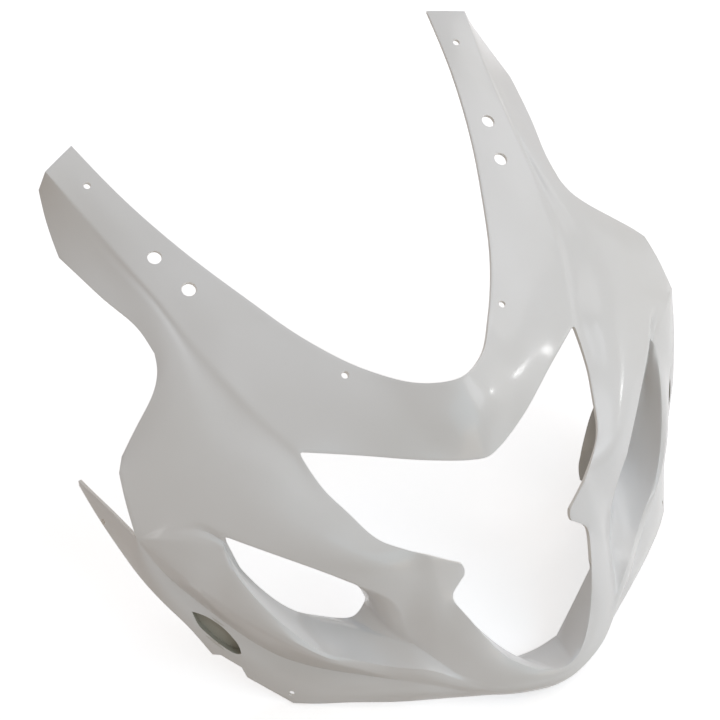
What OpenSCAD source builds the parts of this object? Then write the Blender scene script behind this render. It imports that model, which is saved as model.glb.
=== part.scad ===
// Upper front fairing of a sport motorcycle, one injection moulded shell.
// x runs to the viewer's right, the nose points to -y, z is up.
// The origin is the middle of the whole part, on the symmetry plane.
// Character lines are short splines. The skin is lofted between them,
// given its wall, bored for the screws and mirror posts, and mirrored.

/* [Overall size, mm] */
// width over the rear flanges
body_w = 586; // [540:1:630]
// depth from the chin to the arm tips
body_d = 495.5; // [460:0.5:530]
// height from the chin to the arm tips
body_h = 335.6; // [310:0.2:360]
// wall of the moulding
wall_t = 3; // [2.4:0.1:3.4]

/* [Headlight and intakes, mm] */
// how far the teeth reach into the headlight opening
tooth_in = 17; // [11:0.5:20]
// depth of the return round the foot of the headlight opening
floor_d = 38; // [26:1:42]
// how far the intake wall turns in behind its upper edge
duct_d = 24; // [14:1:28]
// how far the side panel bows out between its edges
panel_bow = 6; // [2:0.5:9]
// bow of the bridge under the windscreen
bridge_bow = 6; // [2:0.5:9]
// bow of the lower wing
wing_bow = 3; // [1:0.25:5]

/* [Holes, mm] */
// mirror post holes
mirror_hole_d = 12; // [9:0.5:14]
// spacing of the two mirror post holes
mirror_pitch = 40; // [34:1:46]
// windscreen screw holes
screw_hole_d = 6; // [4:0.25:7]
// flange and chin fixing holes
fixing_hole_d = 5; // [3.5:0.25:6.5]
// length of the turn signal opening
signal_l = 58; // [46:1:64]
// height of the turn signal opening
signal_h = 13.5; // [10:0.5:16]
// depth of the recess behind the turn signal opening
signal_deep = 11; // [8:0.5:16]
// wall and floor of that recess
cup_t = 2.2; // [1.6:0.1:3]

/* [Hidden] */
kx = body_w / 586;
ky = body_d / 495.5;
kz = body_h / 335.6;
eps = 0.01;

// spline through pts with counts[k] steps in span k
// sym starts the curve square to the symmetry plane
function chord(p, k) = max(0.000001, norm(p[k + 1] - p[k]));
function slope(p, k) = (p[k + 1] - p[k]) / chord(p, k);
function inner_tan(p, k) =
    (slope(p, k - 1) * chord(p, k) + slope(p, k) * chord(p, k - 1)) / (chord(p, k - 1) + chord(p, k));
function tangent(p, k, sym) =
    let (n = len(p))
    n == 2 ? slope(p, 0)
    : k == 0 ? (sym ? [1, 0, 0] : 1.5 * slope(p, 0) - 0.5 * inner_tan(p, 1))
    : k == n - 1 ? 1.5 * slope(p, n - 2) - 0.5 * inner_tan(p, n - 2)
    : inner_tan(p, k);
function span(a, b, ta, tb, u) =
    (2 * u ^ 3 - 3 * u ^ 2 + 1) * a + (u ^ 3 - 2 * u ^ 2 + u) * ta
    + (3 * u ^ 2 - 2 * u ^ 3) * b + (u ^ 3 - u ^ 2) * tb;
function spline(p, counts, sym = false) = [
    p[0],
    for (k = [0:len(p) - 2])
        let (h = chord(p, k), ta = h * tangent(p, k, sym), tb = h * tangent(p, k + 1, sym))
        for (s = [1:counts[k]])
            s == counts[k] ? p[k + 1] : span(p[k], p[k + 1], ta, tb, s / counts[k])
];
function tail(v) = [for (i = [1:len(v) - 1]) v[i]];

// a row between rows a and b, bowed outwards at the columns in knots, [column, bow]
function bow_dir(a, b, i) =
    let (
        i0 = max(0, i - 1),
        i1 = min(len(a) - 1, i + 1),
        c = cross(a[i1] - a[i0] + b[i1] - b[i0], b[i] - a[i]),
        s = i == 0 && a[0][0] == 0 ? [0, c[1], c[2]] : c
    )
    norm(s) > eps ? s / norm(s) : [0, 0, 0];
function between(a, b, f, knots, sym = false) =
    spline(
        [for (k = knots) a[k[0]] * (1 - f) + b[k[0]] * f - bow_dir(a, b, k[0]) * k[1]],
        [for (i = [1:len(knots) - 1]) knots[i][0] - knots[i - 1][0]],
        sym
    );
// the same, but true to both rows at every column, with the bow read from the knots
function halfway(a, b, f, knots) =
    [for (i = [0:len(a) - 1]) a[i] * (1 - f) + b[i] * f - bow_dir(a, b, i) * lookup(i, knots)];
// skin lofted down through rows, counts[k] steps between row k and row k + 1
function skin(rows, counts) = [
    for (i = [0:len(rows[0]) - 1])
        spline([for (r = rows) r[i]], counts)
];

// windscreen edge, from the centre to the arm tip
screen_edge = spline(
    [[0, 5, -8], [30, 17, -9], [62, 50, -5], [96, 95, 12], [123, 146, 33],
     [149, 203, 55], [168, 257, 75], [184, 323, 99]],
    [5, 5, 6, 6, 6, 5, 7], true
);
corner = [143.4, 31, -40];
// upper edge of the headlight opening
light_top = spline(
    [[0, -40, -64], [12, -37.5, -62.5], [42, -26, -57], [102, 8, -47], corner],
    [2, 4, 6, 4], true
);
// crease along the arm, from the headlight corner to the tip
arm_crease = spline(
    [corner, [161, 70, -17], [171.5, 99, 1], [180.6, 136, 19], [187, 172, 36],
     [195, 210, 51], [202.5, 248, 66], [217, 309, 95]],
    [4, 3, 3, 3, 3, 3, 5]
);
// lower edge of the headlight opening, from the chin past the root of the tooth to the corner
notch = [73.6, -95, -143];
root_top = [80, -76, -106];
tooth_root = spline([notch, root_top], [4]);
light_low = concat(
    spline(
        [[0, -167.5, -208], [15, -164.5, -206], [30, -155.5, -201], [44.6, -141.8, -192],
         [62, -117, -164], notch],
        [2, 2, 2, 3, 2], true
    ),
    tail(tooth_root),
    tail(spline(
        [root_top, [99.6, -61, -98.5], [114.7, -47, -92], [128, -20.7, -75], [138, 2.5, -61.4], corner],
        [4, 3, 3, 3, 2]
    ))
);
// the blunt tooth that reaches into the opening
reach = tooth_in / 17;
tooth_edge = spline(
    [notch + [-17, 4.2, 13.5] * reach, notch + [-18.2, 6, 18.5] * reach, notch + [-16.5, 8.3, 24] * reach],
    [2, 2]
);

// line that parts the nose from the scoop
nose_crease = spline(
    [[0, -170, -213], [30, -163.5, -212], [57, -151, -212], [72, -138.5, -207.5], [87, -124, -201],
     [97, -108, -192], [106, -91, -186], [110.5, -83, -172], [111, -80, -157], [117, -76, -141],
     [143, -59, -120]],
    [3, 3, 2, 2, 2, 1, 1, 1, 1, 3], true
);
// upper edge of the air intake
intake_top = spline(
    [[143, -59, -120], [167, -38, -107], [191, -16, -96], [214, 6, -86], [224.4, 17, -82]],
    [3, 3, 3, 1]
);
// lowest point of the rear edge, where the flange parts from the panel
heel = [283.5, 57.5, -86];
// soft crease from the intake back to the rear edge
panel_heel = spline(
    [[224.4, 17, -82], [240.1, 35.8, -73.2], [261.8, 47, -78.4], heel],
    [2, 2, 1]
);
// rear edge, up to the arm tip
rear_edge = concat(
    spline([heel, [281, 78, -63], [276, 95, -47]], [1, 1]),
    tail(spline(
        [[276, 95, -47], [268, 104, -40], [247, 114, -23], [224, 123.5, -4], [214, 134, 5],
         [210.5, 146, 13], [211, 163, 21], [224, 209, 34], [235.6, 257.5, 46]],
        [1, 1, 2, 1, 1, 1, 4, 3]
    )),
    tail(spline([[235.6, 257.5, 46], [231, 286, 62], [225, 308, 79]], [2, 2]))
);
// rim of the intake hole below that edge, round its inner end and along the scoop's floor
hole_rim = spline(
    [[143, -59, -120], [130, -50, -148], [124, -44, -167], [131, -42, -182], [160, -22, -183],
     [174, -18, -174]],
    [3, 3, 2, 6, 4]
);
hole_back = spline(
    [[174, -18, -174], [190, -18, -155], [204, -6, -137], [216, 6, -115], [224.4, 17, -82]],
    [1, 1, 1, 1]
);
// soft line where the throat turns into the scoop's floor
throat_foot = spline(
    [[106, -91, -186], [112, -84.6, -186], [126, -69, -185], [140, -53, -184], [155, -39, -182],
     [174, -18, -174]],
    [1, 3, 3, 2, 3]
);
steps = [3, 3, 2, 2, 2, 2, 3, 3, 4, 2, 2, 1, 2, 1, 2];
// crest of the lower lip
lip_crest = spline(
    [[0, -171.5, -218.5], [30, -165.5, -217.5], [57, -153, -217], [73, -141, -212.5], [89, -127.5, -203.5],
     [108, -115, -194], [120, -106, -194], [135, -93, -194], [155, -78, -188], [177.5, -63.6, -179],
     [202, -39, -152], [224, -2, -113], [228, 10.6, -98], [248, 28, -86], [266, 41, -86],
     heel],
    steps, true
);
// under edge of the lip
lip_under = spline(
    [[0, -170.5, -223], [30, -164.5, -222], [57, -152.5, -221], [74, -141.5, -217.5], [92, -129, -210.5],
     [110, -117, -204], [124, -106, -203], [139, -94, -202], [157, -81, -195], [180, -66, -184],
     [207, -43, -165], [232, -12, -147], [240, -1, -141], [258, 18, -121], [268, 34, -107],
     heel],
    steps, true
);
// valley under the lip, where the lower wing starts
wing_top = spline(
    [[0, -168.5, -226.5], [30, -162.5, -225.5], [57, -151, -224.5], [74, -140.5, -221.5],
     [92, -128.5, -215.5], [110, -117, -210], [124, -106, -208], [139, -93, -207], [155, -79, -206],
     [178, -60, -203], [204, -34, -196], [230, -7, -172], [238, 3, -163], [255, 22, -141],
     [267, 34, -125], heel],
    steps, true
);
// upper edge of the rear flange
flange_top = spline(
    [heel, [286, 77, -84], [289, 108, -84], [292, 138, -86]],
    [2, 3, 3]
);
// bottom edge, from the chin to the flange tip
bottom_edge = concat(
    spline(
        [[0, -164, -233], [25, -159, -232], [50, -149, -230], [70, -140, -229], [93, -127, -230],
         [130, -107, -231], [165, -86, -230], [190, -68, -234], [203, -57, -236], [228, -24, -219]],
        [3, 3, 2, 2, 4, 4, 3, 2, 3], true
    ),
    [[231, -20, -208], [243, -6, -198]],
    spline(
        [[247.7, -0.5, -199.9], [260, 12.5, -172], [273, 29, -151], [284, 50, -131],
         [290, 76, -113], [293, 105, -99], [292, 137, -91]],
        [1, 2, 2, 2, 3, 3]
    )
);

// skins of one half, each a grid of points, outer face only
arm_low = concat(light_top, tail(arm_crease));
arm_mid = between(
    screen_edge, arm_low, 0.5,
    [[0, bridge_bow], [8, bridge_bow * 0.7], [16, bridge_bow * 0.5], [24, 2], [32, 1.2], [40, 0.6]],
    true
);
arm_skin = skin([screen_edge, arm_mid, arm_low], [3, 3]);

side_high = concat(light_low, tail(arm_crease));
side_low = concat(nose_crease, tail(intake_top), tail(panel_heel), tail(rear_edge));
side_mid = between(
    side_high, side_low, 0.5,
    [[0, 0.4], [3, 0.8], [6, 1.2], [9, 1.6], [12, panel_bow * 0.4], [15, panel_bow * 0.5],
     [19, panel_bow * 0.7], [23, panel_bow * 0.8], [27, panel_bow * 0.9], [31, panel_bow],
     [34, panel_bow * 1.27], [37, panel_bow * 0.83], [40, 2], [43, 1], [48, -1.5], [54, 0]],
    true
);
side_skin = skin([side_high, side_mid, side_low], [4, 4]);

tooth_mid = halfway(tooth_edge, tooth_root, 0.5, [[0, 0], [2, 0.6], [4, 0]]);
tooth_skin = skin([tooth_edge, tooth_mid, tooth_root], [1, 1]);

// throat of the intake, from the rim of the hole out to the nose crease and the scoop's floor
throat_out = concat([for (i = [19:-1:13]) nose_crease[i]], tail(throat_foot));
throat_mid = halfway(
    hole_rim, throat_out, 0.5,
    [[0, 0], [2, 2], [4, 4], [6, 3], [9, 0.5], [13, 1.5], [16, 1], [18, 0]]
);
throat_skin = skin([hole_rim, throat_mid, throat_out], [2, 2]);

scoop_high = concat([for (i = [0:13]) nose_crease[i]], tail(throat_foot), tail(hole_back), tail(panel_heel));
scoop_mid = halfway(
    scoop_high, lip_crest, 0.55,
    [[0, 0.3], [8, 0.3], [13, -1], [19, -2.5], [25, -1.5], [29, 0], [34, 0]]
);
scoop_skin = skin([scoop_high, scoop_mid, lip_crest], [2, 2]);
lip_mid = halfway(lip_crest, lip_under, 0.5, [[0, 0.2], [12, 0.8], [22, 1], [29, 3], [34, 0]]);
lip_skin = skin([lip_crest, lip_mid, lip_under], [1, 1]);
tuck_skin = skin([lip_under, wing_top], [1]);

wing_high = concat(wing_top, tail(flange_top));
wing_mid = halfway(
    wing_high, bottom_edge, 0.45,
    [[0, 0.4], [8, 0.5], [12, wing_bow], [20, wing_bow], [28, wing_bow], [34, wing_bow * 0.6], [42, 0]]
);
wing_skin = skin([wing_high, wing_mid, bottom_edge], [2, 2]);

// return round the foot of the headlight opening, run back from its lower edge
floor_far = spline(
    [[0, -168 + floor_d, -223], [19, -167 + floor_d, -222], [25, -165 + floor_d, -216], [58, -121, -171]],
    [3, 1, 5], true
);
floor_skin = skin([floor_far, [for (i = [0:9]) side_high[i]]], [2]);
// duct wall that runs in behind the inner end and the upper edge of the intake
duct_rim = concat([for (i = [6:-1:0]) hole_rim[i]], tail(intake_top));
duct_in = [
    [0, -10, 10, 7], [3, -17, 19, 4], [6, -28, 29, -8], [9, -29, 26, -2], [12, -17, 22, -7], [15, -6, 12, -6],
    [16, -3, 6, -3]
];
duct_far = spline(
    [for (e = duct_in) duct_rim[e[0]] + [e[1], e[2], e[3]] * duct_d / 24],
    [for (k = [1:len(duct_in) - 1]) duct_in[k][0] - duct_in[k - 1][0]]
);
duct_skin = skin([duct_rim, duct_far], [2]);

skins = [
    arm_skin, side_skin, tooth_skin, throat_skin, scoop_skin,
    lip_skin, tuck_skin, wing_skin, floor_skin, duct_skin
];

// outward normal of cell i, j of a skin, then 1, or all 0 where the cell is pinched shut
function cell_n(g, i, j) =
    let (c = cross(g[i][j + 1] - g[i + 1][j], g[i + 1][j + 1] - g[i][j]))
    norm(c) > eps ? [for (q = c / norm(c)) q, 1] : [0, 0, 0, 0];
function cells_n(g) = [
    for (i = [0:len(g) - 2])
        [for (j = [0:len(g[0]) - 2]) cell_n(g, i, j)]
];
function pick(c, i, j) =
    i < 0 || j < 0 || i >= len(c) || j >= len(c[0]) ? [0, 0, 0, 0] : c[i][j];
function point_n(c, i, j) = pick(c, i - 1, j - 1) + pick(c, i - 1, j) + pick(c, i, j - 1) + pick(c, i, j);
// once round the border of a skin, as grid positions
function border(g) =
    let (n = len(g) - 1, m = len(g[0]) - 1)
    concat(
        [for (i = [0:n - 1]) [i, 0]],
        [for (j = [0:m - 1]) [n, j]],
        [for (i = [n:-1:1]) [i, m]],
        [for (j = [m:-1:1]) [0, j]]
    );

skin_n = [for (g = skins) cells_n(g)];
borders = [for (g = skins) border(g)];
rim_pts = [
    for (k = [0:len(skins) - 1])
        for (q = borders[k])
            [skins[k][q[0]][q[1]], point_n(skin_n[k], q[0], q[1])]
];
rim_edges = [
    for (k = [0:len(skins) - 1])
        for (b = [0:len(borders[k]) - 1])
            let (
                q = borders[k][b],
                r = borders[k][(b + 1) % len(borders[k])],
                p0 = skins[k][q[0]][q[1]],
                p1 = skins[k][r[0]][r[1]]
            )
            if (norm(p1 - p0) > eps) [p0, p1, k, q, r]
];
function add_up(v) = [for (e = v) 1] * v;
function shared_n(p) = add_up([for (e = rim_pts) if (norm(e[0] - p) < eps) e[1]]);
// the inner face lies one wall in, with mitred folds
function inset(p, n4) =
    let (v = [abs(p[0]) < eps ? 0 : n4[0], n4[1], n4[2]], l = norm(v))
    p - v / l * wall_t * min(1.4, n4[3] / l);
function on_border(g, i, j) = i == 0 || j == 0 || i == len(g) - 1 || j == len(g[0]) - 1;
function inner_face(g, c) = [
    for (i = [0:len(g) - 1])
        [
            for (j = [0:len(g[0]) - 1])
                inset(g[i][j], on_border(g, i, j) ? shared_n(g[i][j]) : point_n(c, i, j))
        ]
];

// the curves above are drawn from the foot of the windscreen cut-out, the part from its middle
middle = [0, 76.25, -68.85];
function size_fit(p) = [kx * p[0], ky * (p[1] - middle[1]), kz * (p[2] - middle[2])];
function tidy(p) = [for (q = size_fit(p)) round(q * 1000) / 1000];
outer_pts = [for (g = skins) for (c = g) for (p = c) tidy(p)];
inner_pts = [for (k = [0:len(skins) - 1]) for (c = inner_face(skins[k], skin_n[k])) for (p = c) tidy(p)];
half_pts = concat(outer_pts, inner_pts);
n_outer = len(outer_pts);
function first(k) = k == 0 ? 0 : first(k - 1) + len(skins[k - 1]) * len(skins[k - 1][0]);
starts = [for (k = [0:len(skins) - 1]) first(k)];
function id(k, q) = starts[k] + q[0] * len(skins[k][0]) + q[1];
function open_tri(t) =
    norm(half_pts[t[0]] - half_pts[t[1]]) > eps
    && norm(half_pts[t[1]] - half_pts[t[2]]) > eps
    && norm(half_pts[t[2]] - half_pts[t[0]]) > eps;
function halves(a, b, c, d) =
    norm(half_pts[a] - half_pts[c]) <= norm(half_pts[b] - half_pts[d])
    ? [[a, b, c], [a, c, d]]
    : [[a, b, d], [b, c, d]];
outer_tris = [
    for (k = [0:len(skins) - 1])
        for (i = [0:len(skins[k]) - 2])
            for (j = [0:len(skins[k][0]) - 2])
                for (t = halves(id(k, [i, j]), id(k, [i + 1, j]), id(k, [i + 1, j + 1]), id(k, [i, j + 1])))
                    if (open_tri(t)) t
];
inner_tris = [for (t = outer_tris) [t[2] + n_outer, t[1] + n_outer, t[0] + n_outer]];
function on_plane(e) = abs(e[0][0]) < eps && abs(e[1][0]) < eps;
function met(e) = len([for (f = rim_edges) if (norm(f[0] - e[1]) < eps && norm(f[1] - e[0]) < eps) 1]) > 0;
wall_tris = [
    for (e = rim_edges)
        if (!on_plane(e) && !met(e))
            let (a = id(e[2], e[3]), b = id(e[2], e[4]))
            for (t = halves(b, a, a + n_outer, b + n_outer)) t
];
half_tris = concat(outer_tris, inner_tris, wall_tris);
n_half = len(half_pts);
whole_pts = concat(half_pts, [for (p = half_pts) [-p[0], p[1], p[2]]]);
whole_tris = concat(half_tris, [for (t = half_tris) [t[2] + n_half, t[1] + n_half, t[0] + n_half]]);

module skin_body() {
    polyhedron(points = whole_pts, faces = whole_tris);
}

function unit(v) = v / norm(v);
// two mirror posts on one plate of the arm
mirror_mid = [166.9, 189.6, 47.5];
mirror_axis = unit([0.11, -0.395, 0.91]);
mirror_row = unit(cross(mirror_axis, cross([0.284, 0.895, 0.344], mirror_axis)));
// almond outline of the turn signal opening, long axis along x
signal_mid = [244.3, -2.3, -172.9];
signal_axis = unit([0.51, -0.8, 0.3]);
signal_row = unit(cross(signal_axis, cross([0.48, 0.56, 0.68], signal_axis)));
signal_rim = concat(
    spline([[0.5, 0], [0.23, 0.36], [-0.05, 0.47], [-0.3, 0.38], [-0.5, 0]], [4, 3, 3, 4]),
    tail(spline(
        [[-0.5, 0], [-0.43, -0.3], [-0.17, -0.52], [0.18, -0.5], [0.43, -0.14], [0.5, 0]],
        [2, 3, 4, 3, 1]
    ))
);

// a bore through the wall at p along v, moved by off in real size
module bore(p, v, d, off = [0, 0, 0]) {
    translate(size_fit(p) + off)
    rotate([0, acos(v[2] / norm(v)), atan2(v[1], v[0])])
    cylinder(h = 30, d = d, center = true, $fn = 48);
}
module half_bores() {
    bore(mirror_mid, mirror_axis, mirror_hole_d, mirror_row * mirror_pitch / 2);
    bore(mirror_mid, mirror_axis, mirror_hole_d, -mirror_row * mirror_pitch / 2);
    bore([191.1, 285, 85.3], [0, -0.375, 0.927], screw_hole_d);
    bore([81.3, 56.6, -5.35], [0, -0.43, 0.9], screw_hole_d);
    bore([292.2, 97.3, -98.8], [1, 0, 0], fixing_hole_d);
    bore([203, -54.3, -226.5], [0.7, -0.69, 0.2], fixing_hole_d);
}
// stands its child on the signal opening, leaned a little to follow the wing
module at_signal() {
    z = signal_axis;
    y = cross(z, signal_row);
    c = size_fit(signal_mid);
    multmatrix([
        [signal_row[0], y[0], z[0], c[0]],
        [signal_row[1], y[1], z[1], c[1]],
        [signal_row[2], y[2], z[2], c[2]],
        [0, 0, 0, 1]
    ])
    multmatrix([[1, 0, 0, 0], [0, 1, 0, 0], [-0.03, 0, 1, 0], [0, 0, 0, 1]])
    children();
}
module signal_block(grow, from, upto) {
    at_signal()
    translate([0, 0, from])
    linear_extrude(height = upto - from)
    polygon([for (p = signal_rim) [p[0] * (signal_l + grow * 3), p[1] * (signal_h + grow * 2)]]);
}
// cup behind the opening, its mouth buried in the wall of the wing
module signal_cups() {
    signal_block(cup_t, -signal_deep - cup_t, -3.5);
    mirror([1, 0, 0]) signal_block(cup_t, -signal_deep - cup_t, -3.5);
}
module signal_hollows() {
    signal_block(0, -signal_deep, 12);
    mirror([1, 0, 0]) signal_block(0, -signal_deep, 12);
}

module fairing_shell() {
    color([0.9, 0.9, 0.88])
    difference() {
        union() {
            skin_body();
            signal_cups();
        }
        half_bores();
        mirror([1, 0, 0]) half_bores();
        signal_hollows();
    }
}

fairing_shell();
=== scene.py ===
"""Looks of the upper front fairing: one glossy white moulding on a pale floor."""

import math

import bmesh
import bpy
import numpy as np
from mathutils import Matrix, Vector


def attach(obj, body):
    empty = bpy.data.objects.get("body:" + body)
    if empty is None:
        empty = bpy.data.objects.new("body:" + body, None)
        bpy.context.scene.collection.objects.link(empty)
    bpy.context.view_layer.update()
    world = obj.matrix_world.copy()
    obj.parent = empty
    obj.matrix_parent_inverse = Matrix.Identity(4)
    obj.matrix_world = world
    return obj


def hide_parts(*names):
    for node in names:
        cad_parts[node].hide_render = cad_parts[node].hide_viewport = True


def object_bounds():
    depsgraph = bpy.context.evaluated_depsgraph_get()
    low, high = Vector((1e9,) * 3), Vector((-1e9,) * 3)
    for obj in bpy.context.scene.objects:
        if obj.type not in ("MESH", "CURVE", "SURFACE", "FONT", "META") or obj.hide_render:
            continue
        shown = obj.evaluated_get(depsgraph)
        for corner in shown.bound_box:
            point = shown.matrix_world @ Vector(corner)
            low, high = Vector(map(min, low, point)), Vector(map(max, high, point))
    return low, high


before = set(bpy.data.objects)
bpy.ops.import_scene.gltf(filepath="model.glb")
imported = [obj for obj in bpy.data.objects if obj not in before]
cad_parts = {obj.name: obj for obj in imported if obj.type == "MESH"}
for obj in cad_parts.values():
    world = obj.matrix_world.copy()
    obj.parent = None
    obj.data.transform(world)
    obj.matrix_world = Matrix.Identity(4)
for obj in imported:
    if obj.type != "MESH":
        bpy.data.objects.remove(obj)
cad_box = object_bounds()

# the moulding is drawn in millimetres, from the foot of the windscreen opening
WALL = 3.0
MIDDLE = np.array([0, 76.25, -68.85])
SHORTEST_CHORD = 1e-6
LEAST_AREA = 0.01


def in_metres(point):
    """A drawn point's place in the shared frame."""
    return (np.array(point) - MIDDLE) / 1000


def on_side(side, point):
    """A point or direction of the right half, or its mirror image where side is -1."""
    return np.array(point, float) * [side, 1, 1] + 0.0


def unit(direction):
    return np.array(direction, float) / np.linalg.norm(direction)


# lines and skins
def tangents(points, mirrored):
    """The chords between points, and the curve's direction at each point."""
    chord = np.maximum(SHORTEST_CHORD, np.linalg.norm(np.diff(points, axis=0), axis=1))
    slope = np.diff(points, axis=0) / chord[:, None]
    if len(points) == 2:
        return chord, np.array([slope[0], slope[0]])
    inner = (slope[:-1] * chord[1:, None] + slope[1:] * chord[:-1, None]) / (
        chord[:-1] + chord[1:]
    )[:, None]
    first = np.array([1.0, 0, 0]) if mirrored else 1.5 * slope[0] - 0.5 * inner[0]
    last = 1.5 * slope[-1] - 0.5 * inner[-1]
    return chord, np.vstack([first, inner, last])


def spline(points, steps, mirrored=False):
    """A smooth line through points; a mirrored one leaves the middle plane squarely."""
    points = np.array(points, float)
    chord, tangent = tangents(points, mirrored)
    line = [points[0]]
    for k, count in enumerate(steps):
        a, b = points[k], points[k + 1]
        from_a, to_b = chord[k] * tangent[k], chord[k] * tangent[k + 1]
        for step in range(1, count):
            u = step / count
            line.append(
                (2 * u**3 - 3 * u**2 + 1) * a
                + (u**3 - 2 * u**2 + u) * from_a
                + (3 * u**2 - 2 * u**3) * b
                + (u**3 - u**2) * to_b
            )
        line.append(b)
    return np.array(line)


def run_on(first, *others):
    """Lines that follow one another, joined at the points that they share."""
    return np.vstack([first, *(line[1:] for line in others)])


def steps_of(knots):
    """The number of columns from each knot to the next."""
    return [after[0] - before[0] for before, after in zip(knots, knots[1:])]


def inward(a, b, i):
    """The way into the moulding, between two lines at a column; none where they meet."""
    before, after = max(0, i - 1), min(len(a) - 1, i + 1)
    normal = np.cross(a[after] - a[before] + b[after] - b[before], b[i] - a[i])
    if i == 0 and a[0][0] == 0:
        normal[0] = 0
    size = np.linalg.norm(normal)
    return normal / size if size > LEAST_AREA else np.zeros(3)


def bowed(a, b, i, share, bow):
    return a[i] * (1 - share) + b[i] * share - inward(a, b, i) * bow


def sprung_between(a, b, bows, share=0.5, mirrored=False):
    """A spline part of the way from a to b, bowed out by so much at the columns in bows."""
    points = [bowed(a, b, i, share, bow) for i, bow in bows]
    return spline(points, steps_of(bows), mirrored)


def laid_between(a, b, bows, share=0.5):
    """As above, but every column keeps its place between a and b."""
    columns, sizes = zip(*bows)
    return np.array(
        [bowed(a, b, i, share, np.interp(i, columns, sizes)) for i in range(len(a))]
    )


def skin(lines, steps):
    """A grid of points, [column][row], over lines with the same columns."""
    return np.array([spline(crossing, steps) for crossing in zip(*lines)])


def press_in(grid, row, knots):
    """Sinks a row of a skin a little; knots give column, depth and pull to the row before."""
    columns, depths, pulls = zip(*knots)
    sunk = {}
    for i in range(columns[0], columns[-1] + 1):
        along = grid[i + 1][row] - grid[i - 1][row]
        normal = np.cross(grid[i][row + 1] - grid[i][row - 1], along)
        shift = (grid[i][row - 1] - grid[i][row]) * np.interp(i, columns, pulls)
        shift -= normal / np.linalg.norm(normal) * np.interp(i, columns, depths)
        sunk[i] = grid[i][row] + shift
    for i, point in sunk.items():
        grid[i][row] = point


# points of the right half that several lines share
light_corner = [143.4, 31, -40]
notch = np.array([73.6, -95, -143])
tooth_top = np.array([80, -76, -106])
throat_end = [106, -91, -186]
intake_front = [143, -59, -120]
intake_rear = [224.4, 17, -82]
intake_low = [174, -18, -174]
heel = [283.5, 57.5, -86]
panel_rear = [276, 95, -47]
panel_top = [268, 104, -40]
arm_root = [210.5, 146, 13]
arm_elbow = [235.6, 257.5, 46]
wing_corner = [203, -57, -235.7]
wing_step = [[228, -24, -219], [231, -20, -208], [243, -6, -198], [247.7, -0.5, -199.9]]
floor_corner = [21.5, -128.5, -220.5]
# columns at which one line leaves another
FLOOR_ENDS = 9
THROAT_LEAVES = 13
DUCT_LEAVES = 6

# the character lines of the moulding
screen_edge = spline(
    [[0, 5, -8], [30, 17, -9], [62, 50, -5], [96, 95, 12], [123, 146, 33],
     [149, 203, 55], [168, 257, 75], [184, 323, 99]],
    [5, 5, 6, 6, 6, 5, 7], mirrored=True,
)
light_top = spline(
    [[0, -40, -64], [12, -37.5, -62.5], [42, -26, -57], [102, 8, -47], light_corner],
    [2, 4, 6, 4], mirrored=True,
)
arm_crease = spline(
    [light_corner, [161, 70, -17], [171.5, 99, 1], [180.6, 136, 19], [187, 172, 36],
     [195, 210, 51], [202.5, 248, 66], [217, 309, 95]],
    [4, 3, 3, 3, 3, 3, 5],
)
tooth_root = spline([notch, tooth_top], [4])
light_low = run_on(
    spline(
        [[0, -167.5, -208], [15, -164.5, -206], [30, -155.5, -201], [44.6, -141.8, -192],
         [62, -117, -164], notch],
        [2, 2, 2, 3, 2], mirrored=True,
    ),
    tooth_root,
    spline(
        [tooth_top, [99.6, -61, -98.5], [114.7, -47, -92], [128, -20.7, -75],
         [138, 2.5, -61.4], light_corner],
        [4, 3, 3, 3, 2],
    ),
)
tooth_edge = spline(
    [notch + [-17, 4.2, 13.5], notch + [-18.2, 6, 18.5], notch + [-16.5, 8.3, 24]], [2, 2]
)
nose_crease = spline(
    [[0, -170, -213], [30, -163.5, -212], [57, -151, -212], [72, -138.5, -207.5],
     [87, -124, -201], [97, -108, -192], throat_end, [110.5, -83, -172],
     [111, -80, -157], [117, -76, -141], intake_front],
    [3, 3, 2, 2, 2, 1, 1, 1, 1, 3], mirrored=True,
)
intake_top = spline(
    [intake_front, [167, -38, -107], [191, -16, -96], [214, 6, -86], intake_rear], [3, 3, 3, 1]
)
panel_heel = spline([intake_rear, [240.1, 35.8, -73.2], [261.8, 47, -78.4], heel], [2, 2, 1])
rear_edge = run_on(
    spline([heel, [281, 78, -63], panel_rear], [1, 1]),
    spline(
        [panel_rear, panel_top, [247, 114, -23], [224, 123.5, -4], [214, 134, 5], arm_root,
         [211, 163, 21], [224, 209, 34], arm_elbow],
        [1, 1, 2, 1, 1, 1, 4, 3],
    ),
    spline([arm_elbow, [231, 286, 62], [225, 308, 79]], [2, 2]),
)
hole_rim = spline(
    [intake_front, [130, -50, -148], [124, -44, -167], [131, -42, -182], [160, -22, -183],
     intake_low],
    [3, 3, 2, 6, 4],
)
hole_back = spline(
    [intake_low, [187.9, -14.7, -159.6], [201.2, -1.6, -143.1], [213.2, 10.4, -121.1],
     intake_rear],
    [1, 1, 1, 1],
)
throat_foot = spline(
    [throat_end, [112, -84.6, -186], [126, -69, -185], [140, -53, -184], [155, -39, -182],
     intake_low],
    [1, 3, 3, 2, 3],
)
LIP_STEPS = [3, 3, 2, 2, 2, 2, 3, 3, 4, 2, 2, 1, 2, 1, 2]
lip_crest = spline(
    [[0, -171.5, -218.5], [30, -165.5, -217.5], [57, -153, -217], [73, -141, -212.5],
     [89, -127.5, -203.5], [108, -115, -194], [120, -106, -194], [135, -93, -194],
     [155, -78, -188], [177.5, -63.6, -179], [202, -39, -152], [224, -2, -113],
     [228, 10.6, -98], [248, 28, -86], [266, 41, -86], heel],
    LIP_STEPS, mirrored=True,
)
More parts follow.
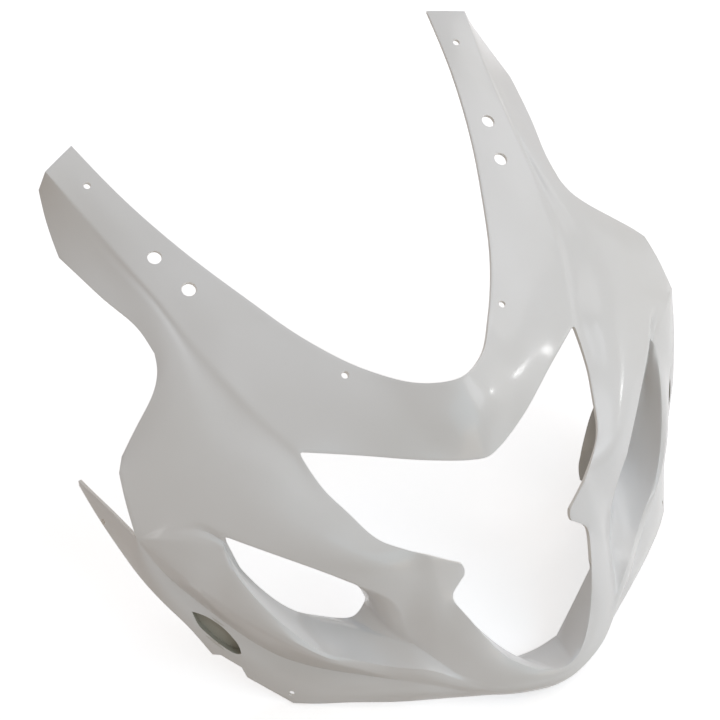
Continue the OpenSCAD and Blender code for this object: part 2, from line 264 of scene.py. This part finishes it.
lip_under = spline(
    [[0, -170.5, -223], [30, -164.5, -222], [57, -152.5, -221], [74, -141.5, -217.5],
     [92, -129, -210.5], [110, -117, -204], [124, -106, -203], [139, -94, -202],
     [157, -81, -195], [180, -66, -184], [207, -43, -165], [232, -12, -147],
     [240, -1, -141], [258, 18, -121], [268, 34, -107], heel],
    LIP_STEPS, mirrored=True,
)
wing_top = spline(
    [[0, -168.5, -226.5], [30, -162.5, -225.5], [57, -151, -224.5], [74, -140.5, -221.5],
     [92, -128.5, -215.5], [110, -117, -210], [124, -106, -208], [139, -93, -207],
     [155, -79, -206], [178, -60, -203], [204, -34, -196], [230, -7, -172],
     [238, 3, -163], [255, 22, -141], [267, 34, -125], heel],
    LIP_STEPS, mirrored=True,
)
flange_top = spline([heel, [286, 77, -84], [289, 108, -84], [292, 138, -86]], [2, 3, 3])
bottom_edge = run_on(
    spline(
        [[0, -164, -233], [25, -159, -232], [50, -149, -230], [70, -140, -229],
         [93, -127, -230], [130, -107, -231], [165, -86, -230], [190, -68, -234], wing_corner],
        [3, 3, 2, 2, 4, 4, 3, 2], mirrored=True,
    ),
    spline([wing_corner, wing_step[0]], [3]),
    wing_step,
    spline(
        [wing_step[-1], [260, 12.5, -172], [273, 29, -151], [284, 50, -131],
         [290, 76, -113], [293, 105, -99], [292, 137, -91]],
        [1, 2, 2, 2, 3, 3],
    ),
)
# the rear edge of the floor in the headlight opening, and the fold that its corner starts
floor_far = run_on(
    [[0, -130, -223], floor_corner],
    spline([floor_corner, [36, -124, -203], light_low[FLOOR_ENDS]], [4, 4]),
)
floor_fold = [floor_far[1], (floor_far[1] + light_low[1]) / 2, light_low[1]]

# corners of the open edges that stay sharp
CORNERS = [
    *wing_step, panel_rear, panel_top, arm_root, arm_elbow, wing_corner, floor_corner,
]
# how hard each fold is, from 0, rounded out, to 1, sharp, over the columns where it holds
FOLDS = [
    (arm_crease, 0.35), (nose_crease[10:], 0.85), (lip_crest[20:31], 0.35), (lip_under[4:], 1),
    (wing_top[4:], 1), (throat_foot, 0.9), (intake_top, 0.9), (panel_heel[:3], 0.5),
    (floor_fold, 1),
]
# any other fold hardens with its angle in degrees, up to so much
FOLD_STARTS, FOLD_SPAN, FOLD_MOST = 24, 30, 0.85
# the wall's rim is broken, and a face's edge shows as sharp, from these angles in degrees
RIM_ANGLE, SHARP_ANGLE = 55, 34

# where the skins are pressed in: column, depth, pull
ARM_BAND = [(27, 0, 0), (30, 2.4, 0.5), (36, 3, 0.5), (40, 1.8, 0), (50, 0, 0)]
INTAKE_DENT = [(26, 0, 0), (28, 2.2, 0), (30, 2.4, 0), (32, 0, 0)]
# how far the duct's inner edge lies from its rim: column, then x, y and z
DUCT_REACH = [
    (0, -10, 10, 7), (3, -17, 19, 4), (6, -28, 29, -8), (9, -29, 26, -2), (12, -17, 22, -7),
    (15, -6, 12, -6), (16, -3, 6, -3),
]


def half_skins():
    """The skins of one half: the solid's, with soft dents and folds that only the looks have."""
    arm_low = run_on(light_top, arm_crease)
    arm_mid = sprung_between(
        screen_edge, arm_low,
        [(0, 6), (8, 4.2), (16, 3), (24, 2), (32, 1.2), (40, 0.6)], mirrored=True,
    )
    side_high = run_on(light_low, arm_crease)
    side_low = run_on(nose_crease, intake_top, panel_heel, rear_edge)
    side_mid = sprung_between(
        side_high, side_low,
        [(0, 0.4), (3, 0.8), (6, 1.2), (9, 1.6), (12, 2.4), (15, 3), (19, 4.2), (23, 4.8),
         (27, 5.4), (31, 6), (34, 7.6), (37, 5), (40, 2), (43, 1), (48, -1.5), (54, 0)],
        mirrored=True,
    )
    sides = skin([side_high, side_mid, side_low], [4, 4])
    press_in(sides, 1, ARM_BAND)

    tooth_mid = laid_between(tooth_edge, tooth_root, [(0, 0), (2, 0.6), (4, 0)])
    throat_out = run_on(nose_crease[THROAT_LEAVES:][::-1], throat_foot)
    throat_mid = laid_between(
        hole_rim, throat_out,
        [(0, 0), (2, 2.5), (4, 6), (6, 5), (9, 1), (13, 1.5), (16, 1), (18, 0)],
    )
    scoop_high = run_on(nose_crease[:THROAT_LEAVES + 1], throat_foot, hole_back, panel_heel)
    scoop_mid = laid_between(
        scoop_high, lip_crest,
        [(0, 0.3), (8, 0.3), (13, -1), (19, -2.5), (25, -1.5), (29, 0), (34, 0)], share=0.55,
    )
    scoop = skin([scoop_high, scoop_mid, lip_crest], [2, 2])
    press_in(scoop, 1, INTAKE_DENT)

    lip_mid = laid_between(lip_crest, lip_under, [(0, 0.2), (12, 0.8), (22, 1), (29, 3), (34, 0)])
    wing_high = run_on(wing_top, flange_top)
    wing_mid = laid_between(
        wing_high, bottom_edge,
        [(0, 0.4), (8, 0.5), (12, 3), (20, 3), (28, 3), (34, 1.8), (42, 0)], share=0.45,
    )
    duct_rim = run_on(hole_rim[:DUCT_LEAVES + 1][::-1], intake_top)
    duct_far = spline(
        [duct_rim[column] + np.array(reach) for column, *reach in DUCT_REACH],
        steps_of(DUCT_REACH),
    )
    return [
        skin([screen_edge, arm_mid, arm_low], [3, 3]),
        sides,
        skin([tooth_edge, tooth_mid, tooth_root], [1, 1]),
        skin([hole_rim, throat_mid, throat_out], [2, 2]),
        scoop,
        skin([lip_crest, lip_mid, lip_under], [1, 1]),
        skin([lip_under, wing_top], [1]),
        skin([wing_high, wing_mid, bottom_edge], [2, 2]),
        skin([floor_far, side_high[:FLOOR_ENDS + 1]], [2]),
        skin([duct_rim, duct_far], [2]),
    ]


# the moulding
def object_of(name, data):
    made = bpy.data.objects.new(name, data)
    bpy.context.scene.collection.objects.link(made)
    return made


def shell_cage():
    """Both halves welded into one open sheet, outer face only."""
    verts, faces, seen = [], [], {}

    def vertex(point):
        key = tuple(np.round(point, 3) + 0.0)
        if key not in seen:
            seen[key] = len(verts)
            verts.append(tuple(in_metres(point)))
        return seen[key]

    for side in (1, -1):
        for grid in half_skins():
            columns, rows = grid.shape[:2]
            for i in range(columns - 1):
                for j in range(rows - 1):
                    ring = [grid[i][j], grid[i][j + 1], grid[i + 1][j + 1], grid[i + 1][j]]
                    ids = [vertex(on_side(side, point)) for point in ring][::side]
                    ids = [v for k, v in enumerate(ids) if v != ids[k - 1]]
                    if len(set(ids)) > 2:
                        faces.append(ids)
    mesh = bpy.data.meshes.new("moulded_shell")
    mesh.from_pydata(verts, [], faces)
    mesh.update()
    return mesh


def fold_key(point):
    """A drawn point to a hundredth of a millimetre, by which the mesh finds it again."""
    return tuple(np.round(point, 2) + 0.0)


def crease_folds(mesh):
    """Moulded folds keep a tight radius under subdivision, all else rounds out."""
    folds = {}
    for line, weight in FOLDS:
        for ends in zip(line, line[1:]):
            for side in (1, -1):
                folds[frozenset(fold_key(on_side(side, point)) for point in ends)] = weight
    corners = {fold_key(on_side(side, point)) for point in CORNERS for side in (1, -1)}
    bm = bmesh.new()
    bm.from_mesh(mesh)
    on_edge = bm.edges.layers.float.new("crease_edge")
    on_vert = bm.verts.layers.float.new("crease_vert")
    drawn = {vert: fold_key(np.array(vert.co) * 1000 + MIDDLE) for vert in bm.verts}
    for edge in bm.edges:
        if len(edge.link_faces) == 2:
            angle = math.degrees(edge.calc_face_angle(0))
            weight = folds.get(frozenset(drawn[vert] for vert in edge.verts), 0)
            by_angle = FOLD_MOST * min(1, max(0, (angle - FOLD_STARTS) / FOLD_SPAN))
            edge[on_edge] = max(weight, by_angle)
    for vert in bm.verts:
        if drawn[vert] in corners:
            vert[on_vert] = 1.0
    bm.to_mesh(mesh)
    bm.free()


# the later finishes' places in the moulding's list; the rim's finish is painted lighter as a
# painted highlight, the recess's darker as painted shade
INNER, RIM, RECESS = 1, 2, 3

# turn signal: a recess in a cup behind the wing, millimetres
SIGNAL_AXIS = unit([0.51, -0.8, 0.3])
SIGNAL_ROW = unit(np.cross(SIGNAL_AXIS, np.cross([0.48, 0.56, 0.68], SIGNAL_AXIS)))
SIGNAL_MIDDLE = [244.3, -2.3, -172.9]
SIGNAL_LENGTH, SIGNAL_HEIGHT = 58, 13.5
SIGNAL_LEAN = 0.03
RECESS_DEPTHS = (-11, 12)
CUP_DEPTHS = (-13.2, -3.5)
CUP_WALL = 2.2

# round holes of one side: place, direction out of the wall and bore of the mirror's posts,
# the screws at the arm's tip and the windscreen, and the fixings of the flange and the wing
MIRROR_AXIS = unit([0.11, -0.395, 0.91])
MIRROR_ROW = unit(np.cross(MIRROR_AXIS, np.cross([0.284, 0.895, 0.344], MIRROR_AXIS)))
MIRROR_MIDDLE = np.array([166.9, 189.6, 47.5])
POSTS_APART = 40
HOLES = [
    (MIRROR_MIDDLE + MIRROR_ROW * POSTS_APART / 2, MIRROR_AXIS, 12),
    (MIRROR_MIDDLE - MIRROR_ROW * POSTS_APART / 2, MIRROR_AXIS, 12),
    ([191.1, 285, 85.3], [0, -0.375, 0.927], 6),
    ([81.3, 56.6, -5.35], [0, -0.43, 0.9], 6),
    ([292.2, 97.3, -98.8], [1, 0, 0], 5),
    ([203, -54.3, -226.5], [0.7, -0.69, 0.2], 5),
]
HOLE_SIDES = 40
# metres: how far a hole's cutter reaches, and the broken edge that it leaves on the outer face
CUTTER_REACH = 0.015
BROKEN_EDGE = 0.0006
EDGE_BELOW, EDGE_ABOVE = 0.0004, 0.0002


def ring_walls(low, high):
    """The side faces of a cutter, between two rings of its corners."""
    count = len(low)
    return [[low[k], low[(k + 1) % count], high[(k + 1) % count], high[k]] for k in range(count)]


def drill(bm, at, axis, bore):
    """A turned cutter along axis, wider outside the wall than inside."""
    turned = Vector(axis).normalized().to_track_quat("Z", "Y").to_matrix().to_4x4()
    place = Matrix.Translation(Vector(in_metres(at))) @ turned
    inside = bore / 2000
    outside = inside + BROKEN_EDGE
    rings = []
    for height, radius in ((-CUTTER_REACH, inside), (-EDGE_BELOW, inside),
                           (EDGE_ABOVE, outside), (CUTTER_REACH, outside)):
        ring = []
        for k in range(HOLE_SIDES):
            turn = 2 * math.pi * k / HOLE_SIDES
            corner = Vector((radius * math.cos(turn), radius * math.sin(turn), height))
            ring.append(bm.verts.new(place @ corner))
        rings.append(ring)
    for low, high in zip(rings, rings[1:]):
        for wall in ring_walls(low, high):
            # hole walls take the rim finish, painted lighter as a painted highlight
            bm.faces.new(wall).material_index = RIM
    bm.faces.new(rings[0][::-1])
    bm.faces.new(rings[-1])


def signal_outline():
    """The almond of the turn signal, one unit long and about one high."""
    upper = spline(
        [[0.5, 0, 0], [0.23, 0.36, 0], [-0.05, 0.47, 0], [-0.3, 0.38, 0], [-0.5, 0, 0]],
        [6, 5, 5, 6],
    )
    lower = spline(
        [[-0.5, 0, 0], [-0.43, -0.3, 0], [-0.17, -0.52, 0], [0.18, -0.5, 0],
         [0.43, -0.14, 0], [0.5, 0, 0]],
        [3, 5, 6, 5, 3],
    )
    return run_on(upper, lower)[:-1, :2]


def signal_block(bm, side, wall, depths, slot):
    """An almond prism on the signal opening, leaned with the wing; a wall thickens it."""
    height_axis = np.cross(SIGNAL_AXIS, SIGNAL_ROW)
    rings = []
    for depth in depths:
        ring = []
        for u, v in signal_outline():
            u = u * (SIGNAL_LENGTH + 3 * wall) / 1000
            v = v * (SIGNAL_HEIGHT + 2 * wall) / 1000
            at = in_metres(SIGNAL_MIDDLE) + SIGNAL_ROW * u + height_axis * v
            at = at + SIGNAL_AXIS * (depth / 1000 - SIGNAL_LEAN * u)
            ring.append(bm.verts.new(on_side(side, at)))
        rings.append(ring)
    low, high = rings
    for face in ring_walls(low, high) + [low[::-1], high]:
        bm.faces.new(face[::side]).material_index = slot


def signal_cup(bm, side):
    signal_block(bm, side, CUP_WALL, CUP_DEPTHS, INNER)


def holes_of_a_side(bm, side):
    for at, axis, bore in HOLES:
        drill(bm, on_side(side, at), on_side(side, axis), bore)
    # the recess faces take the darkened finish, which is painted shade
    signal_block(bm, side, 0, RECESS_DEPTHS, RECESS)


def cutter_object(name, build):
    bm = bmesh.new()
    for side in (1, -1):
        build(bm, side)
    bmesh.ops.recalc_face_normals(bm, faces=bm.faces)
    mesh = bpy.data.meshes.new(name)
    bm.to_mesh(mesh)
    bm.free()
    for finish in finishes:
        mesh.materials.append(finish)
    return object_of(name, mesh)


def applied(piece):
    """The piece's mesh with its modifiers worked in."""
    graph = bpy.context.evaluated_depsgraph_get()
    mesh = bpy.data.meshes.new_from_object(piece.evaluated_get(graph))
    piece.modifiers.clear()
    piece.data = mesh
    return mesh


def modify(piece, name, kind, **settings):
    made = piece.modifiers.new(name, kind)
    for setting, value in settings.items():
        setattr(made, setting, value)


def moulded_shell():
    """The whole fairing: rounded, thickened inwards, edges broken, cups added, holes cut."""
    mesh = shell_cage()
    crease_folds(mesh)
    for finish in finishes:
        mesh.materials.append(finish)
    piece = object_of("moulded_shell", mesh)
    modify(piece, "even_skin", "SUBSURF", levels=2, render_levels=2,
           boundary_smooth="PRESERVE_CORNERS")
    # the wall's cut edge takes the rim finish, painted lighter as a painted highlight
    modify(piece, "wall", "SOLIDIFY", thickness=WALL / 1000, offset=-1, use_even_offset=False,
           use_quality_normals=True, material_offset=INNER, material_offset_rim=RIM)
    modify(piece, "broken_rim", "BEVEL", limit_method="ANGLE", angle_limit=math.radians(RIM_ANGLE),
           width=BROKEN_EDGE, segments=2)
    cups = cutter_object("signal_cups", signal_cup)
    modify(piece, "signal_cups", "BOOLEAN", operation="UNION", solver="MANIFOLD", object=cups)
    holes = cutter_object("holes", holes_of_a_side)
    modify(piece, "holes", "BOOLEAN", operation="DIFFERENCE", solver="MANIFOLD", object=holes)
    mesh = applied(piece)
    for tool in (cups, holes):
        bpy.data.objects.remove(tool)
    mesh.shade_smooth()
    mesh.set_sharp_from_angle(angle=math.radians(SHARP_ANGLE))
    return piece


# finishes
class Socket:
    """A node's output, on which sums and products add their Math nodes."""

    def __init__(self, tree, link):
        self.tree, self.link = tree, link

    def maths(self, operation, *values):
        return node(self.tree, "ShaderNodeMath", {"operation": operation}, dict(enumerate(values)))

    def __add__(self, other):
        return self.maths("ADD", self, other)

    def __radd__(self, other):
        return self.maths("ADD", other, self)

    def __mul__(self, other):
        return self.maths("MULTIPLY", self, other)

    def __rmul__(self, other):
        return self.maths("MULTIPLY", other, self)


def feed(made, values):
    """Links a node's sockets, or sets them where the value is plain."""
    for name, value in values.items():
        if isinstance(value, Socket):
            value.tree.links.new(value.link, made.inputs[name])
        else:
            made.inputs[name].default_value = value


def node(tree, kind, settings, values, output=0):
    """A node of a type, with its settings and its sockets' values or links."""
    made = tree.nodes.new(kind)
    for name, value in settings.items():
        setattr(made, name, value)
    feed(made, values)
    return Socket(tree, made.outputs[output])


def noise(place, scale, detail=2.0, rough=0.5):
    return node(place.tree, "ShaderNodeTexNoise", {},
                {"Vector": place, "Scale": scale, "Detail": detail, "Roughness": rough})


def graded(value, low, high, most=1.0):
    """Goes from 0 to most as value goes from low to high."""
    return node(value.tree, "ShaderNodeMapRange", {"clamp": True},
                {"Value": value, "From Min": low, "From Max": high, "To Min": 0.0, "To Max": most})


def tint(factor, a, b):
    """Colour a turning to b; 0, 6 and 7 are the Mix node's factor and its two colours."""
    return node(factor.tree, "ShaderNodeMix", {"data_type": "RGBA"}, {0: factor, 6: a, 7: b}, 2)


DUST = (0.30, 0.28, 0.25, 1)


def plastic(name, fresh, aged, gloss, peel, coat):
    """White moulded ABS: faint tone drift, dust in the pores and a slight orange peel."""
    finish = bpy.data.materials.new(name)
    finish.use_nodes = True
    tree = finish.node_tree
    place = node(tree, "ShaderNodeTexCoord", {}, {}, "Object")
    drift = noise(place, scale=6.0, detail=3.0)
    cloud = noise(place, scale=26.0, detail=4.0, rough=0.6)
    specks = graded(noise(place, scale=900.0, rough=0.7), 0.74, 0.80)
    peeled = noise(place, scale=420.0, detail=1.0) + noise(place, scale=70.0) * 0.9
    base = tint(graded(drift, 0.35, 0.68), fresh, aged)
    base = tint(graded(cloud, 0.55, 0.8, most=0.25), base, aged)
    feed(tree.nodes["Principled BSDF"], {
        "Base Color": tint(specks * 0.30, base, DUST),
        "Roughness": gloss + cloud * 0.05 + specks * 0.25,
        "Normal": node(tree, "ShaderNodeBump", {},
                       {"Strength": peel, "Distance": 0.0004, "Height": peeled}),
        "IOR": 1.5,
        "Coat Weight": coat,
        "Coat Roughness": 0.12,
    })
    return finish


finishes = [
    plastic("gloss_white", (0.825, 0.845, 0.87, 1), (0.775, 0.79, 0.80, 1),
            gloss=0.34, peel=0.05, coat=0.45),
    plastic("inner_satin", (0.70, 0.71, 0.70, 1), (0.63, 0.63, 0.61, 1),
            gloss=0.42, peel=0.16, coat=0.0),
    # the cut rim's finish is lighter than the gloss white: a painted highlight along the wall's
    # edges
    plastic("rim_painted_highlight", (0.94, 0.94, 0.93, 1), (0.88, 0.88, 0.86, 1),
            gloss=0.34, peel=0.12, coat=0.1),
    # the signal recess's finish is darker than the white plastic: painted shade for the depth of
    # the recess
    plastic("recess_painted_shade", (0.46, 0.46, 0.41, 1), (0.40, 0.40, 0.35, 1),
            gloss=0.42, peel=0.16, coat=0.0),
]
shell = moulded_shell()
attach(shell, "root")
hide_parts("fairing_shell")

# studio, in metres
FLOOR_REACH, FLOOR_SQUARES = 6, 8
FLOOR_GAP = 0.0005
WHITE = (1, 1, 1)


def stage_floor():
    """Pale to the eye and in gloss, brown board to soft light, so that it bounces little."""
    bm = bmesh.new()
    bmesh.ops.create_grid(
        bm, x_segments=FLOOR_SQUARES, y_segments=FLOOR_SQUARES, size=FLOOR_REACH
    )
    mesh = bpy.data.meshes.new("studio_floor")
    bm.to_mesh(mesh)
    bm.free()
    floor = object_of("studio_floor", mesh)
    floor.location.z = cad_box[0][2] - FLOOR_GAP
    paint = bpy.data.materials.new("pale_floor")
    paint.use_nodes = True
    tree = paint.node_tree
    pale = tree.nodes["Principled BSDF"]
    feed(pale, {
        "Base Color": (0.88, 0.9, 0.93, 1),
        "Roughness": 0.8,
        "Emission Color": (*WHITE, 1),
        "Emission Strength": 0.54,
    })
    board = node(tree, "ShaderNodeBsdfDiffuse", {}, {"Color": (0.33, 0.265, 0.205, 1)})
    camera, glossy, through = (
        node(tree, "ShaderNodeLightPath", {}, {}, f"Is {kind} Ray")
        for kind in ("Camera", "Glossy", "Transmission")
    )
    seen = camera + glossy + through
    blend = node(tree, "ShaderNodeMixShader", {},
                 {0: seen, 1: board, 2: Socket(tree, pale.outputs[0])})
    feed(tree.nodes["Material Output"], {"Surface": blend})
    mesh.materials.append(paint)


def softbox(name, at, size, watts, colour=WHITE, aim=(0, 0, 0)):
    lamp = bpy.data.lights.new(name, "AREA")
    lamp.shape = "RECTANGLE"
    lamp.size, lamp.size_y = size
    lamp.energy = watts
    lamp.color = colour
    box = object_of(name, lamp)
    box.location = at
    box.rotation_euler = (Vector(aim) - Vector(at)).to_track_quat("-Z", "Y").to_euler()


# what the photograph gives for its camera, in its own pixels: how far from the middle the lines
# across the part meet, the middle of the bridge, with the pixels to a millimetre there, and the
# foot of the windscreen opening
PICTURE = 720
ACROSS_MEETS = 5050
BRIDGE_AT, BRIDGE_SCALE = (475, 420), 1.2
SCREEN_FOOT_AT = (465, 374)
# how the part lies to the camera
SWING, PITCH, TURN = map(math.radians, (25, 50, -24.2))
SENSOR = 36


def photo_camera():
    """Looks down on the nose from its left front, rolled as in the photograph."""
    focal = ACROSS_MEETS * math.tan(SWING)

    def ray(x, y):
        return np.array([(x - PICTURE / 2) / focal, (y - PICTURE / 2) / focal, 1.0])

    across = np.array([math.cos(TURN) * math.cos(SWING), math.sin(TURN) * math.cos(SWING),
                       math.sin(SWING)])
    plane = across @ (ray(*BRIDGE_AT) * focal / BRIDGE_SCALE)
    away = np.array([0, 0, -1.0])
    away -= across * (across @ away)
    away /= np.linalg.norm(away)
    up = np.cross(away, across)
    up = -up if up[1] > 0 else up
    ahead = away * math.cos(PITCH) - up * math.sin(PITCH)
    high = away * math.sin(PITCH) + up * math.cos(PITCH)
    turned = np.stack([across, -ahead, high])
    foot = ray(*SCREEN_FOOT_AT)
    place = in_metres(turned @ (-foot * plane / (across @ foot)))
    axes = [turned @ np.array(axis, float) for axis in ((1, 0, 0), (0, -1, 0), (0, 0, -1))]
    lens = bpy.data.cameras.new("photo_camera")
    lens.sensor_width = SENSOR
    lens.lens = focal / PICTURE * SENSOR
    lens.clip_end = 50
    eye = object_of("photo_camera", lens)
    eye.matrix_world = Matrix([[*row] for row in zip(*axes, place)] + [[0, 0, 0, 1]])
    bpy.context.scene.camera = eye


photo_camera()
stage_floor()
softbox("right_key", (1.5, -0.1, 1.5), (0.9, 0.9), 3.3)
softbox("right_front", (1.5, -1.3, 1.3), (0.8, 0.8), 6.0, (0.9, 0.94, 1))
softbox("front", (0.4, -2.0, 1.3), (1.5, 1.5), 8.4, (0.5, 0.8, 1))
softbox("front_low", (0.3, -2.2, 0.35), (0.8, 0.8), 3.0, (1, 0.85, 0.7))
softbox("right_back", (1.6, 1.2, 1.2), (0.9, 0.9), 5.4, (1, 0.93, 0.87))
softbox("right_low", (2.0, -0.5, 0.35), (0.8, 0.8), 1.5, (0.9, 0.95, 1))
softbox("back_top", (0, 1.8, 1.6), (1.4, 1.0), 5.5, (0.35, 0.65, 1))
softbox("right_glint", (1.7, -0.72, 0.55), (0.08, 0.08), 0.65, aim=(0.09, -0.06, 0.04))
softbox("left_glint", (-1.3, -0.75, 1.0), (0.06, 0.12), 0.16, aim=(-0.27, 0, 0))
world = bpy.data.worlds.new("studio")
bpy.context.scene.world = world
world.use_nodes = True
feed(world.node_tree.nodes["Background"], {"Color": (1, 0.885, 0.78, 1), "Strength": 0.46})
bpy.context.scene.view_settings.view_transform = "Standard"
